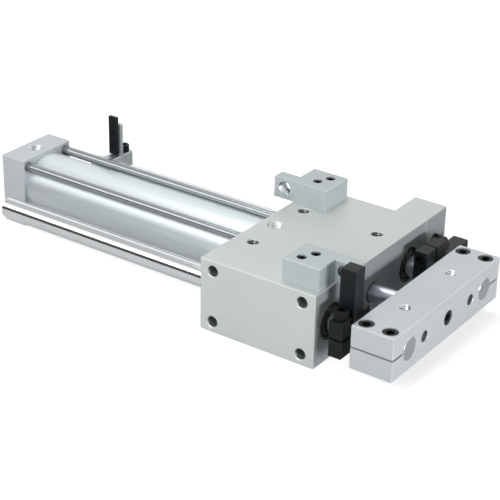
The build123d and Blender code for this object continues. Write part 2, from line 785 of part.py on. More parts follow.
# The piston rod has a shank for the piston and its nut, and a tapped end behind the plate.
with BuildPart() as piston_rod:
    shank_length = piston_length + piston_nut_length
    piston_rod_length = plate_rear_x - piston_front_x + shank_length
    tapped_end = centre_screw_length - (plate_thickness - centre_screw_sink) + centre_tap_spare
    piston_rod_outline = [
        (0, 0),
        (0, piston_shank_r - head_break),
        (head_break, piston_shank_r),
        (shank_length, piston_shank_r),
        (shank_length, rod_r),
        (piston_rod_length, rod_r),
        (piston_rod_length, centre_screw_r),
        (piston_rod_length - tapped_end, centre_screw_r),
        (piston_rod_length - tapped_end, 0),
    ]
    turn(piston_rod_outline, piston_rear_x - piston_nut_length, rod_axis)
piston_rod.part.label = "piston_rod"
export_step(piston_rod.part, "parts/piston_rod.step")

piston_r = bore_r - piston_gap
wear_band_inset = (piston_length - wear_band_width) / 2
with BuildPart() as piston:
    piston_grooves = [
        (piston_seal_inset, piston_seal_width, piston_seal_depth),
        (wear_band_inset, wear_band_width, wear_band_depth),
        (piston_length - piston_seal_inset - piston_seal_width, piston_seal_width, piston_seal_depth),
    ]
    turn(grooved(piston_length, piston_r, piston_shank_r, piston_grooves), piston_rear_x, rod_axis)
piston.part.label = "piston"
export_step(piston.part, "parts/piston.step")

with BuildPart() as piston_nut:
    with BuildSketch(Plane.YZ.offset(piston_rear_x)):
        with Locations(*rod_axis):
            RegularPolygon(piston_nut_r, 6, major_radius=False)
            Circle(piston_shank_r, mode=Mode.SUBTRACT)
    extrude(amount=-piston_nut_length)
piston_nut.part.label = "piston_nut"
export_step(piston_nut.part, "parts/piston_nut.step")

with BuildPart() as piston_seals:
    piston_seal_outline = sleeve(piston_seal_width, bore_r - sliding_fit, piston_r - piston_seal_depth)
    turn(piston_seal_outline, piston_rear_x + piston_seal_inset, rod_axis)
    turn(piston_seal_outline, piston_front_x - piston_seal_inset, rod_axis, -1)
piston_seals.part.label = "piston_seals"
export_step(piston_seals.part, "parts/piston_seals.step")

with BuildPart() as piston_wear_band:
    wear_band_outline = sleeve(wear_band_width, bore_r - sliding_fit, piston_r - wear_band_depth)
    turn(wear_band_outline, piston_rear_x + wear_band_inset, rod_axis)
piston_wear_band.part.label = "piston_wear_band"
export_step(piston_wear_band.part, "parts/piston_wear_band.step")

# The near collar's bar stands up past the near switch. The far one is the same part turned on its
# side, so that its bar reaches out to the shock absorber.
near_stop_collar = stop_collar(near_stop_plane)
near_stop_collar.part.label = "near_stop_collar"
export_step(near_stop_collar.part, "parts/near_stop_collar.step")

far_stop_collar = stop_collar(far_stop_plane)
far_stop_collar.part.label = "far_stop_collar"
export_step(far_stop_collar.part, "parts/far_stop_collar.step")

stop_seats = [clamp_seat(near_stop_plane, stop_screw_reach), clamp_seat(far_stop_plane, stop_screw_reach)]
stop_collar_screws = cap_screws(stop_seats, clamp_screw_r, clamp_screw_length)
stop_collar_screws.part.label = "stop_collar_screws"
export_step(stop_collar_screws.part, "parts/stop_collar_screws.step")

with BuildPart() as target_collar:
    with BuildSketch(target_plane):
        with Locations(((target_back_reach - target_ear_reach) / 2, 0)):
            Rectangle(target_back_reach + target_ear_reach, clamp_height)
        with Locations((-upright_near_side - upright_thickness / 2, upright_reach / 2)):
            Rectangle(upright_thickness, upright_reach)
    extrude(amount=clamp_thickness)
    chamfer(target_collar.edges().filter_by(Axis.X, reverse=True), length=clamp_break)
    clamp_opening(target_plane, target_ear_reach, target_screw_reach, target_clamp_screw_r)
    screw_holes(target_screw_seats, target_screw_r, upright_thickness)
target_collar.part.label = "target_collar"
export_step(target_collar.part, "parts/target_collar.step")

target_seats = [clamp_seat(target_plane, target_screw_reach)]
target_collar_screw = cap_screws(target_seats, target_clamp_screw_r, clamp_screw_length)
target_collar_screw.part.label = "target_collar_screw"
export_step(target_collar_screw.part, "parts/target_collar_screw.step")

with BuildPart() as target_plate:
    with BuildSketch(Plane.XZ.offset(-guide_y - upright_near_side)):
        with Locations((target_mid_x, axis_z + target_foot + target_height / 2)):
            Rectangle(target_width, target_height)
    extrude(amount=target_thickness)
    screw_holes(target_screw_seats, target_screw_r, upright_thickness + target_thickness)
target_plate.part.label = "target_plate"
export_step(target_plate.part, "parts/target_plate.step")

target_plate_screws = cap_screws(target_screw_seats, target_screw_r, target_screw_length)
target_plate_screws.part.label = "target_plate_screws"
export_step(target_plate_screws.part, "parts/target_plate_screws.step")
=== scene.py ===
import bpy
from math import pi, radians
from mathutils import Matrix, Vector


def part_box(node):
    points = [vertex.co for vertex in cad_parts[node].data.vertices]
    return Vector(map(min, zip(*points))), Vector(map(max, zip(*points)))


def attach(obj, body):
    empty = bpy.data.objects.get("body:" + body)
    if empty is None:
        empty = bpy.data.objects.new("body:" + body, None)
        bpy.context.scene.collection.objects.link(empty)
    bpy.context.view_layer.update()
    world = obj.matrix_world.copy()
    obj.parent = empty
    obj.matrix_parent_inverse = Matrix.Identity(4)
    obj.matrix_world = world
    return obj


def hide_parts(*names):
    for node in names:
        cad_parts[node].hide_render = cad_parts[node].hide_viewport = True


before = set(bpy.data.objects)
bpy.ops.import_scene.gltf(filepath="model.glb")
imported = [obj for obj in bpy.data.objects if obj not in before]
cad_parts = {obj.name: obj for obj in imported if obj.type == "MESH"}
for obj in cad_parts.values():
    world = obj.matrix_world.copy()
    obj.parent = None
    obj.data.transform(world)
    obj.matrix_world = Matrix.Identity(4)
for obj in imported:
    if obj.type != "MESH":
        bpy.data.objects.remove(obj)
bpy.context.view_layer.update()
mm = 0.001

# The actuator's own faces and axes, from the frame. The tube runs from the cap's front to the block's rear.
block_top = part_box("housing")[1].z
block_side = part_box("housing")[1].y
front_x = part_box("housing")[1].x
cap_front_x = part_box("cylinder_tube")[0].x
rear_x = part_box("cylinder_tube")[1].x
guide_y = sum(corner.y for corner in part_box("far_guide_rod")) / 2
axis_z = sum(corner.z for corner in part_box("far_guide_rod")) / 2
plate_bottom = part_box("tooling_plate")[0].z
plate_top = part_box("tooling_plate")[1].z
plate_front_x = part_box("tooling_plate")[1].x
tie_rod_reach = axis_z - 7.4 * mm
shock_y = block_side + 15.3 * mm
shock_z = axis_z + 3.1 * mm
shock_tail_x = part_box("shock_block")[0].x - 0.15 * mm

# Holes in the block and the plate
top_hole_half_pitch_x = 35.85 * mm
top_hole_mid_x = front_x - 19.7 * mm - top_hole_half_pitch_x
top_hole_y = guide_y - 23.0 * mm
side_hole_half_pitch_x = 42.15 * mm
side_hole_mid_x = front_x - 12.55 * mm - side_hole_half_pitch_x
side_hole_half_pitch_z = 22.7 * mm
plate_hole_x = plate_front_x - 19.0 * mm
plate_top_hole_y = guide_y - 23.7 * mm
plate_front_hole_y = guide_y - 23.2 * mm
front_port_x = rear_x + 14.0 * mm
rear_port_x = cap_front_x - 13.5 * mm

# Switch brackets, each measured from the upright edge where its arm begins
bracket_length = 34.0 * mm
bracket_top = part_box("near_switch_bracket")[1].z
near_bracket_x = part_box("near_switch_bracket")[0].x + bracket_length
near_bracket_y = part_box("near_switch_bracket")[1].y
far_bracket_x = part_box("far_switch_bracket")[1].x - bracket_length
far_bracket_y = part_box("far_switch_bracket")[0].y
bracket_screw_spots = [(17.1 * mm, 12.4 * mm), (22.9 * mm, 23.5 * mm)]
bracket_seat = bracket_top - 9.0 * mm
arm_width = 11.3 * mm
switch_hole_reach = 8.2 * mm
switch_hole_z = block_top + 10.0 * mm
switch_thread_inset = 0.2 * mm

# Screws of the stop collars and of the plate
stop_collar_mid_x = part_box("near_stop_collar")[0].x + 6.15 * mm
stop_screw_reach = 15.75 * mm
stop_head_seat = 15.6 * mm
centre_head_seat_x = plate_front_x - 11.0 * mm


# Modelling helpers
def clear_selection():
    if bpy.context.object and bpy.context.object.mode != "OBJECT":
        bpy.ops.object.mode_set(mode="OBJECT")
    bpy.ops.object.select_all(action="DESELECT")


def pick(piece):
    clear_selection()
    piece.select_set(True)
    bpy.context.view_layer.objects.active = piece


def select_where(piece, kind, test):
    """Selects the vertices, edges or faces of a piece whose middle passes a test, and opens edit mode."""
    pick(piece)
    bpy.ops.object.mode_set(mode="EDIT")
    bpy.ops.mesh.select_mode(type={"verts": "VERT", "edges": "EDGE", "faces": "FACE"}[kind])
    bpy.ops.mesh.select_all(action="DESELECT")
    bpy.ops.object.mode_set(mode="OBJECT")
    mesh = piece.data
    for part in {"verts": mesh.vertices, "edges": mesh.edges, "faces": mesh.polygons}[kind]:
        if kind == "verts":
            part.select = test(part.co)
        elif kind == "edges":
            a, b = (mesh.vertices[i].co for i in part.vertices)
            part.select = test(a, b)
        else:
            part.select = test(part.center, part.normal)
    bpy.ops.object.mode_set(mode="EDIT")


def apply_modifier(piece, kind, **settings):
    pick(piece)
    modifier = piece.modifiers.new(kind.title(), kind)
    for key, value in settings.items():
        setattr(modifier, key, value)
    bpy.ops.object.modifier_apply(modifier=modifier.name)


def ridged_sleeve(inner_r, outer_r, length, pitch, wall, vertices=32):
    """A sleeve along +Z from 0 whose wall runs in and out once a pitch, as a thread's flanks do."""
    clear_selection()
    bpy.ops.mesh.primitive_cylinder_add(
        vertices=vertices, radius=outer_r, depth=length, end_fill_type="NOTHING", location=(0, 0, length / 2)
    )
    sleeve = bpy.context.object
    pick(sleeve)
    bpy.ops.object.transform_apply(location=True, rotation=True, scale=True)
    turns = max(2, round(length / pitch))
    select_where(sleeve, "edges", lambda a, b: abs(a.z - b.z) > length / 2)
    bpy.ops.mesh.subdivide(number_cuts=2 * turns - 1)
    step = length / (2 * turns)
    select_where(sleeve, "verts", lambda p: round(p.z / step) % 2 == 1)
    bpy.ops.transform.resize(value=(inner_r / outer_r, inner_r / outer_r, 1), center_override=(0, 0, 0))
    bpy.ops.object.mode_set(mode="OBJECT")
    apply_modifier(sleeve, "SOLIDIFY", thickness=wall, offset=1)
    return sleeve


def knurled_band(radius, length, teeth, depth):
    """The knurled side of a socket head, standing along +Z from 0."""
    clear_selection()
    bpy.ops.mesh.primitive_cylinder_add(
        vertices=2 * teeth, radius=radius, depth=length, end_fill_type="NOTHING", location=(0, 0, length / 2)
    )
    band = bpy.context.object
    pick(band)
    bpy.ops.object.transform_apply(location=True, rotation=True, scale=True)
    spoke = pi / teeth

    def in_a_groove(p):
        angle = Vector((p.x, p.y)).angle_signed(Vector((0, 1)))
        return round(angle / spoke) % 2 == 1

    select_where(band, "verts", in_a_groove)
    bpy.ops.transform.resize(value=((radius - depth) / radius,) * 2 + (1,), center_override=(0, 0, 0))
    bpy.ops.object.mode_set(mode="OBJECT")
    apply_modifier(band, "SOLIDIFY", thickness=0.25 * mm, offset=-1)
    return band


def lip_ring(inner_r, outer_r, height):
    """A rubber lip round a rod, standing along +Z from 0, thick at its foot and thin at the rod."""
    clear_selection()
    bpy.ops.mesh.primitive_cylinder_add(
        vertices=64, radius=outer_r, depth=height, end_fill_type="NGON", location=(0, 0, height / 2)
    )
    lip = bpy.context.object
    pick(lip)
    bpy.ops.object.transform_apply(location=True, rotation=True, scale=True)
    width = outer_r - inner_r
    select_where(lip, "faces", lambda c, n: abs(n.z) > 0.9)
    bpy.ops.mesh.inset(thickness=0.45 * width, depth=0)
    bpy.ops.mesh.inset(thickness=0.55 * width, depth=0)
    bpy.ops.mesh.bridge_edge_loops()
    select_where(lip, "verts", lambda p: p.z > 0.5 * height and Vector((p.x, p.y)).length > outer_r - 0.1 * width)
    bpy.ops.transform.translate(value=(0, 0, -0.6 * height))
    bpy.ops.object.mode_set(mode="OBJECT")
    apply_modifier(lip, "BEVEL", width=0.12 * mm, segments=2, limit_method="ANGLE", angle_limit=radians(25))
    return lip


def socket_head(radius, height, socket_r, socket_depth):
    """A socket cap screw's head, standing along +Z from 0."""
    clear_selection()
    bpy.ops.mesh.primitive_cylinder_add(vertices=64, radius=radius, depth=height, location=(0, 0, height / 2))
    head = bpy.context.object
    pick(head)
    bpy.ops.object.transform_apply(location=True, rotation=True, scale=True)
    clear_selection()
    bpy.ops.mesh.primitive_cylinder_add(vertices=6, radius=socket_r, depth=2 * socket_depth, location=(0, 0, height))
    socket = bpy.context.object
    pick(socket)
    bpy.ops.object.transform_apply(location=True, rotation=True, scale=True)
    apply_modifier(head, "BOOLEAN", object=socket, operation="DIFFERENCE", solver="EXACT")
    bpy.data.objects.remove(socket)
    apply_modifier(head, "BEVEL", width=0.35 * mm, segments=2, limit_method="ANGLE", angle_limit=radians(50))
    return head


def aimed(place, direction):
    """The matrix that stands something made along +Z at a place, along a direction."""
    turn = Vector((0, 0, 1)).rotation_difference(Vector(direction)).to_matrix().to_4x4()
    return Matrix.Translation(place) @ turn


def set_out(original, name, matrices, body, material):
    """Copies a finished shape to each place, joins the copies into one piece, and rides it on a body."""
    copies = []
    for matrix in matrices:
        copy = original.copy()
        copy.data = original.data.copy()
        copy.data.transform(matrix)
        bpy.context.scene.collection.objects.link(copy)
        copies.append(copy)
    bpy.data.objects.remove(original)
    clear_selection()
    for copy in copies:
        copy.select_set(True)
    bpy.context.view_layer.objects.active = copies[0]
    if len(copies) > 1:
        bpy.ops.object.join()
    piece = bpy.context.object
    piece.name = name
    piece.data.name = name
    bpy.ops.object.mode_set(mode="EDIT")
    bpy.ops.mesh.select_all(action="SELECT")
    bpy.ops.mesh.normals_make_consistent(inside=False)
    bpy.ops.object.mode_set(mode="OBJECT")
    bpy.ops.object.shade_smooth_by_angle(angle=radians(28))
    piece.data.materials.clear()
    piece.data.materials.append(material)
    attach(piece, body)
    return piece


# Material helpers
def linear(red, green, blue):
    """A colour given as it looks on screen, from 0 to 255."""
    def channel(value):
        value /= 255
        return value / 12.92 if value <= 0.04045 else ((value + 0.055) / 1.055) ** 2.4
    return (channel(red), channel(green), channel(blue), 1)


def group(name, inputs, outputs):
    tree = bpy.data.node_groups.new(name, "ShaderNodeTree")
    for label, kind, value in inputs:
        socket = tree.interface.new_socket(name=label, in_out="INPUT", socket_type=kind)
        socket.default_value = value
    for label, kind in outputs:
        tree.interface.new_socket(name=label, in_out="OUTPUT", socket_type=kind)
    return tree, tree.nodes.new("NodeGroupInput"), tree.nodes.new("NodeGroupOutput")


def maths(tree, operation, first, second=None):
    node = tree.nodes.new("ShaderNodeMath")
    node.operation = operation
    for socket, value in zip(node.inputs, (first, second)):
        if value is None:
            continue
        if isinstance(value, (int, float)):
            socket.default_value = value
        else:
            tree.links.new(value, socket)
    return node.outputs[0]


def spread(tree, value, from_low, from_high, to_low, to_high):
    node = tree.nodes.new("ShaderNodeMapRange")
    tree.links.new(value, node.inputs["Value"])
    for label, number in (("From Min", from_low), ("From Max", from_high), ("To Min", to_low), ("To Max", to_high)):
        node.inputs[label].default_value = number
    return node.outputs["Result"]


def noise(tree, stretch, scale, detail=2.0, roughness=0.5):
    """Noise in the piece's own place, drawn out along an axis by a small number in stretch."""
    place = tree.nodes.new("ShaderNodeTexCoord")
    mapping = tree.nodes.new("ShaderNodeMapping")
    mapping.inputs["Scale"].default_value = stretch
    texture = tree.nodes.new("ShaderNodeTexNoise")
    texture.inputs["Detail"].default_value = detail
    texture.inputs["Roughness"].default_value = roughness
    if isinstance(scale, (int, float)):
        texture.inputs["Scale"].default_value = scale
    else:
        tree.links.new(scale, texture.inputs["Scale"])
    tree.links.new(place.outputs["Object"], mapping.inputs["Vector"])
    tree.links.new(mapping.outputs["Vector"], texture.inputs["Vector"])
    return texture.outputs["Fac"]


def mixed(tree, factor, first, second, blend="MIX"):
    node = tree.nodes.new("ShaderNodeMix")
    node.data_type = "RGBA"
    node.blend_type = blend
    for socket, value in ((node.inputs[0], factor), (node.inputs[6], first), (node.inputs[7], second)):
        if isinstance(value, (int, float, tuple)):
            socket.default_value = value
        else:
            tree.links.new(value, socket)
    return node.outputs[2]


def make_turned_and_shaded_end_mask():
    """White on the faces that look along a rod or a tube, along X. The rods' ends are turned off square and brushed;
    on the block the same mask lays painted shade on the front and rear faces.
    """
    tree, _, exit_ = group("Turned ends and painted end shade", [], [("Mask", "NodeSocketFloat")])
    place = tree.nodes.new("ShaderNodeTexCoord")
    parts = tree.nodes.new("ShaderNodeSeparateXYZ")
    tree.links.new(place.outputs["Normal"], parts.inputs[0])
    along = maths(tree, "ABSOLUTE", parts.outputs[0])
    tree.links.new(spread(tree, along, 0.6, 0.9, 0, 1), exit_.inputs["Mask"])
    return tree


def make_edge_highlight_mask():
    """White where a face leans between the axes, as a broken edge does, and black on flat faces. It places a painted
    highlight on those edges.
    """
    tree, _, exit_ = group("Painted edge highlight", [], [("Mask", "NodeSocketFloat")])
    place = tree.nodes.new("ShaderNodeTexCoord")
    parts = tree.nodes.new("ShaderNodeSeparateXYZ")
    tree.links.new(place.outputs["Normal"], parts.inputs[0])
    sides = [maths(tree, "ABSOLUTE", parts.outputs[i]) for i in range(3)]
    flattest = maths(tree, "MAXIMUM", maths(tree, "MAXIMUM", sides[0], sides[1]), sides[2])
    tree.links.new(spread(tree, flattest, 0.74, 0.9, 1, 0), exit_.inputs["Mask"])
    return tree


def make_skin(name, inner_stretch):
    """Colour, roughness and height of a metal skin: a fine grain drawn out one way, and faint clouding."""
    tree, entry, exit_ = group(
        name,
        [
            ("Colour", "NodeSocketColor", (0.5, 0.5, 0.5, 1)),
            ("Edge Highlight Colour", "NodeSocketColor", (0.8, 0.8, 0.8, 1)),
            ("Edge Highlight Amount", "NodeSocketFloat", 0.0),
            ("End Colour", "NodeSocketColor", (0.3, 0.3, 0.3, 1)),
            ("End Amount", "NodeSocketFloat", 0.0),
            ("Grain Scale", "NodeSocketFloat", 900.0),
            ("Grain Amount", "NodeSocketFloat", 0.05),
            ("Cloud Amount", "NodeSocketFloat", 0.05),
            ("Roughness", "NodeSocketFloat", 0.35),
            ("Roughness Spread", "NodeSocketFloat", 0.06),
        ],
        [("Colour", "NodeSocketColor"), ("Roughness", "NodeSocketFloat"), ("Height", "NodeSocketFloat")],
    )
    value = entry.outputs
    grain = noise(tree, inner_stretch, value["Grain Scale"], 3.0, 0.6)
    cloud = noise(tree, (1, 1, 1), 22.0, 3.0, 0.55)
    centred_grain = maths(tree, "MULTIPLY", maths(tree, "SUBTRACT", grain, 0.5), value["Grain Amount"])
    centred_cloud = maths(tree, "MULTIPLY", maths(tree, "SUBTRACT", cloud, 0.5), value["Cloud Amount"])
    shade = maths(tree, "ADD", maths(tree, "ADD", centred_grain, centred_cloud), 1.0)
    bright = tree.nodes.new("ShaderNodeCombineColor")
    for i in range(3):
        tree.links.new(shade, bright.inputs[i])
    toned = mixed(tree, 1.0, value["Colour"], bright.outputs[0], "MULTIPLY")
    # Painted highlight on broken edges, in the edge colour
    mask = tree.nodes.new("ShaderNodeGroup")
    mask.node_tree = edge_highlight_mask
    amount = maths(tree, "MULTIPLY", mask.outputs["Mask"], value["Edge Highlight Amount"])
    edge_highlighted = mixed(tree, amount, toned, value["Edge Highlight Colour"])
    # The end colour: a turned finish on the rods' ends, and painted shade on the block's front and rear faces
    ends = tree.nodes.new("ShaderNodeGroup")
    ends.node_tree = turned_and_shaded_end_mask
    turned_and_shaded_end = maths(tree, "MULTIPLY", ends.outputs["Mask"], value["End Amount"])
    tree.links.new(mixed(tree, turned_and_shaded_end, edge_highlighted, value["End Colour"]), exit_.inputs["Colour"])
    rough_shift = maths(tree, "MULTIPLY", maths(tree, "SUBTRACT", grain, 0.5), value["Roughness Spread"])
    cloud_shift = maths(tree, "MULTIPLY", maths(tree, "SUBTRACT", cloud, 0.5), value["Roughness Spread"])
    rough_shift = maths(tree, "ADD", rough_shift, maths(tree, "MULTIPLY", turned_and_shaded_end, 0.22))
    rough = maths(tree, "ADD", value["Roughness"], maths(tree, "ADD", rough_shift, cloud_shift))
    tree.links.new(rough, exit_.inputs["Roughness"])
    tree.links.new(grain, exit_.inputs["Height"])
    return tree


def finish_material(name, skin, colour, edge_highlight=None, edge_highlight_amount=0.0, grain=900.0, grain_amount=0.05,
                    cloud=0.05, roughness=0.35, roughness_spread=0.06, metallic=1.0, bump=0.1,
                    bump_depth=0.00002, specular=0.5, end=None):
    material = bpy.data.materials.new(name)
    material.use_nodes = True
    tree = material.node_tree
    shader = tree.nodes["Principled BSDF"]
    shader.inputs["Metallic"].default_value = metallic
    shader.inputs["Specular IOR Level"].default_value = specular
    surface = tree.nodes.new("ShaderNodeGroup")
    surface.node_tree = skin
    surface.inputs["Colour"].default_value = colour
    surface.inputs["Edge Highlight Colour"].default_value = edge_highlight or colour
    surface.inputs["Edge Highlight Amount"].default_value = edge_highlight_amount
    surface.inputs["End Colour"].default_value = end or colour
    surface.inputs["End Amount"].default_value = 1.0 if end else 0.0
    surface.inputs["Grain Scale"].default_value = grain
    surface.inputs["Grain Amount"].default_value = grain_amount
    surface.inputs["Cloud Amount"].default_value = cloud
    surface.inputs["Roughness"].default_value = roughness
    surface.inputs["Roughness Spread"].default_value = roughness_spread
    relief = tree.nodes.new("ShaderNodeBump")
    relief.inputs["Strength"].default_value = bump
    relief.inputs["Distance"].default_value = bump_depth
    tree.links.new(surface.outputs["Colour"], shader.inputs["Base Color"])
    tree.links.new(surface.outputs["Roughness"], shader.inputs["Roughness"])
    tree.links.new(surface.outputs["Height"], relief.inputs["Height"])
    tree.links.new(relief.outputs["Normal"], shader.inputs["Normal"])
    return material


# Finishes. Where a second colour and a number follow the base colour, they paint a highlight on broken edges.
edge_highlight_mask = make_edge_highlight_mask()
turned_and_shaded_end_mask = make_turned_and_shaded_end_mask()
blasted_skin = make_skin("Blasted skin", (1, 1, 1))
ground_skin = make_skin("Ground across", (12, 0.4, 0.4))
drawn_skin = make_skin("Drawn lengthwise", (0.02, 1, 1))

# The block's end colour darkens its front and rear faces: painted shade
block_finish = finish_material(
    "Anodised block", blasted_skin, linear(201, 206, 205), linear(222, 227, 227), 0.12,
    grain=1400, grain_amount=0.06, cloud=0.05, roughness=0.38, roughness_spread=0.08, metallic=0.3, bump=0.1,
    end=linear(146, 152, 154))
cap_finish = finish_material(
    "Anodised cap", blasted_skin, linear(197, 203, 208), linear(224, 229, 231), 0.12,
    grain=1400, grain_amount=0.06, cloud=0.05, roughness=0.38, roughness_spread=0.08, metallic=0.3, bump=0.1)
plate_finish = finish_material(
    "Anodised plate", blasted_skin, linear(194, 200, 204), linear(224, 229, 231), 0.12,
    grain=1400, grain_amount=0.05, cloud=0.05, roughness=0.36, roughness_spread=0.08, metallic=0.3, bump=0.08)
bracket_finish = finish_material(
    "Anodised bracket", blasted_skin, linear(182, 191, 192), linear(206, 214, 215), 0.12,
    grain=1500, grain_amount=0.06, cloud=0.06, roughness=0.4, roughness_spread=0.08, metallic=0.28, bump=0.1)
collar_finish = finish_material(
    "Anodised collar", blasted_skin, linear(188, 195, 198), linear(214, 220, 223), 0.12,
    grain=1500, grain_amount=0.06, cloud=0.06, roughness=0.34, roughness_spread=0.08, metallic=0.8, bump=0.1)
tube_finish = finish_material(
    "Drawn tube", drawn_skin, linear(211, 218, 220), grain=1100, grain_amount=0.015, cloud=0.03,
    roughness=0.42, roughness_spread=0.02, metallic=0.9, bump=0.01)
chrome_finish = finish_material(
    "Ground chrome", ground_skin, linear(234, 237, 239), grain=500, grain_amount=0.02, cloud=0.02,
    roughness=0.13, roughness_spread=0.02, metallic=1.0, bump=0.02, end=linear(186, 190, 192))
rod_finish = finish_material(
    "Polished piston rod", ground_skin, linear(186, 189, 202), grain=500, grain_amount=0.02, cloud=0.03,
    roughness=0.28, roughness_spread=0.02, metallic=1.0, bump=0.02, end=linear(150, 154, 158))
steel_finish = finish_material(
    "Plated steel", ground_skin, linear(186, 191, 194), linear(212, 216, 218), 0.3, grain=900,
    grain_amount=0.05, cloud=0.05, roughness=0.2, roughness_spread=0.05, metallic=1.0, bump=0.04)
tie_rod_finish = finish_material(
    "Drawn tie rod", drawn_skin, linear(168, 173, 176), grain=1000, grain_amount=0.05, cloud=0.03,
    roughness=0.22, roughness_spread=0.04, metallic=1.0, bump=0.02)
# The cut thread in the block's holes and the plate's front holes is darker than the bright thread: painted shade
# inside the holes
shaded_thread_finish = finish_material(
    "Cut thread, painted hole shade", blasted_skin, linear(112, 117, 119), grain=1200, grain_amount=0.1, cloud=0.06,
    roughness=0.4, roughness_spread=0.08, metallic=0.75, bump=0.05)
bright_thread_finish = finish_material(
    "Bright thread", blasted_skin, linear(214, 219, 222), grain=1200, grain_amount=0.06, cloud=0.04,
    roughness=0.24, roughness_spread=0.05, metallic=1.0, bump=0.04)
worn_thread_finish = finish_material(
    "Rod thread", blasted_skin, linear(128, 132, 134), grain=1200, grain_amount=0.12, cloud=0.08,
    roughness=0.42, roughness_spread=0.08, metallic=0.9, bump=0.05)
oxide_finish = finish_material(
    "Black oxide", blasted_skin, linear(25, 27, 29), linear(64, 67, 70), 0.15, grain=1800,
    grain_amount=0.2, cloud=0.15, roughness=0.36, roughness_spread=0.1, metallic=0.6, bump=0.1, specular=0.35)
paint_finish = finish_material(
    "Black coated steel", blasted_skin, linear(12, 17, 20), linear(54, 61, 65), 0.25, grain=1600,
    grain_amount=0.2, cloud=0.2, roughness=0.46, roughness_spread=0.08, metallic=0.05, bump=0.14, specular=0.26)
ring_finish = finish_material(
    "Spring steel ring", blasted_skin, linear(34, 35, 37), linear(90, 93, 95), 0.4, grain=1800,
    grain_amount=0.15, cloud=0.1, roughness=0.32, roughness_spread=0.08, metallic=0.6, bump=0.1)
rubber_finish = finish_material(
    "Black rubber", blasted_skin, linear(26, 26, 27), grain=1500, grain_amount=0.2, cloud=0.15,
    roughness=0.58, roughness_spread=0.1, metallic=0.0, bump=0.25, specular=0.35)
bronze_finish = finish_material(
    "Bushing bronze", ground_skin, linear(182, 142, 92), grain=900, grain_amount=0.1, cloud=0.08,
    roughness=0.33, roughness_spread=0.08, metallic=1.0, bump=0.08)
liner_finish = finish_material(
    "Bearing liner", blasted_skin, linear(126, 116, 100), grain=1300, grain_amount=0.16, cloud=0.12,
    roughness=0.55, roughness_spread=0.1, metallic=0.0, bump=0.2)

finish_of = {
    block_finish: ["housing", "shock_block"],
    cap_finish: ["rear_cap"],
    plate_finish: ["tooling_plate"],
    bracket_finish: ["near_switch_bracket", "far_switch_bracket"],
    collar_finish: ["target_collar", "piston"],
    tube_finish: ["cylinder_tube"],
    chrome_finish: ["near_guide_rod", "far_guide_rod"],
    rod_finish: ["piston_rod"],
    tie_rod_finish: ["tie_rods"],
    steel_finish: ["bearing_shells", "seal_retainer", "piston_nut", "shock_plunger"],
    oxide_finish: ["bracket_screws", "shock_block_screws", "shock_body", "shock_locknut", "plate_clamp_screws",
                   "plate_centre_screw", "stop_collar_screws", "target_collar_screw", "target_plate_screws",
                   "tie_rod_nuts", "shock_ring_nut"],
    paint_finish: ["near_stop_collar", "far_stop_collar", "target_plate"],
    ring_finish: ["retaining_rings"],
    rubber_finish: ["tube_seals", "bearing_wipers", "rod_seal", "rod_wiper", "piston_seals"],
    bronze_finish: ["rod_bushing"],
    liner_finish: ["bearing_liners", "piston_wear_band"],
}
for material, names in finish_of.items():
    for name in names:
        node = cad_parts[name]
        for finish_slot in node.material_slots:
            finish_slot.material = material
        if not node.material_slots:
            node.data.materials.append(material)

# Threads in the tapped holes
lead = 0.95 * mm
plate_lead = 0.45 * mm
hole_wall = 0.06 * mm
hole_pitch = 1.6 * mm
hole_outer_r = 4.66 * mm
hole_inner_r = 4.22 * mm
block_thread_length = 11.2 * mm
plate_thread_length = 9.6 * mm
top_hole_spots = [(top_hole_mid_x + side * top_hole_half_pitch_x, y)
                  for side in (-1, 1) for y in (-top_hole_y, top_hole_y)]
side_hole_spots = [(side_hole_mid_x + side * side_hole_half_pitch_x, z)
                   for side in (-1, 1)
                   for z in (axis_z - side_hole_half_pitch_z, axis_z + side_hole_half_pitch_z)]
block_holes = [aimed((x, y, block_top - lead), (0, 0, -1)) for x, y in top_hole_spots]
block_holes += [aimed((x, y, lead), (0, 0, 1)) for x, y in top_hole_spots]
block_holes += [aimed((x, -block_side + lead, z), (0, 1, 0)) for x, z in side_hole_spots]
set_out(ridged_sleeve(hole_inner_r, hole_outer_r, block_thread_length, hole_pitch, hole_wall),
        "block_hole_threads", block_holes, "base", shaded_thread_finish)
plate_top_spots = (-plate_top_hole_y, plate_top_hole_y)
plate_front_spots = (-plate_front_hole_y, plate_front_hole_y)
plate_top_holes = [aimed((plate_hole_x, y, plate_top - plate_lead), (0, 0, -1)) for y in plate_top_spots]
plate_top_holes += [aimed((plate_hole_x, y, plate_bottom + plate_lead), (0, 0, 1)) for y in plate_top_spots]
set_out(ridged_sleeve(hole_inner_r, hole_outer_r, plate_thread_length, hole_pitch, hole_wall),
        "plate_top_hole_threads", plate_top_holes, "carriage", bright_thread_finish)
plate_front_holes = [aimed((plate_front_x - plate_lead, y, axis_z), (-1, 0, 0)) for y in plate_front_spots]
set_out(ridged_sleeve(hole_inner_r, hole_outer_r, plate_thread_length, hole_pitch, hole_wall),
        "plate_front_hole_threads", plate_front_holes, "carriage", shaded_thread_finish)
port_places = [aimed((x, 0, block_top - lead), (0, 0, -1)) for x in (front_port_x, rear_port_x)]
port_thread = ridged_sleeve(
    inner_r=5.9 * mm, outer_r=6.4 * mm, length=12 * mm, pitch=1.4 * mm, wall=0.08 * mm, vertices=40)
set_out(port_thread, "port_threads", port_places, "base", bright_thread_finish)
switch_places = [
    aimed((near_bracket_x + switch_hole_reach, near_bracket_y - arm_width + switch_thread_inset, switch_hole_z),
          (0, 1, 0)),
    aimed((far_bracket_x - switch_hole_reach, far_bracket_y + switch_thread_inset, switch_hole_z), (0, 1, 0))]
switch_thread = ridged_sleeve(
    inner_r=5.5 * mm, outer_r=5.9 * mm, length=10.9 * mm, pitch=1.0 * mm, wall=0.06 * mm, vertices=40)
set_out(switch_thread, "switch_hole_threads", switch_places, "base", bright_thread_finish)

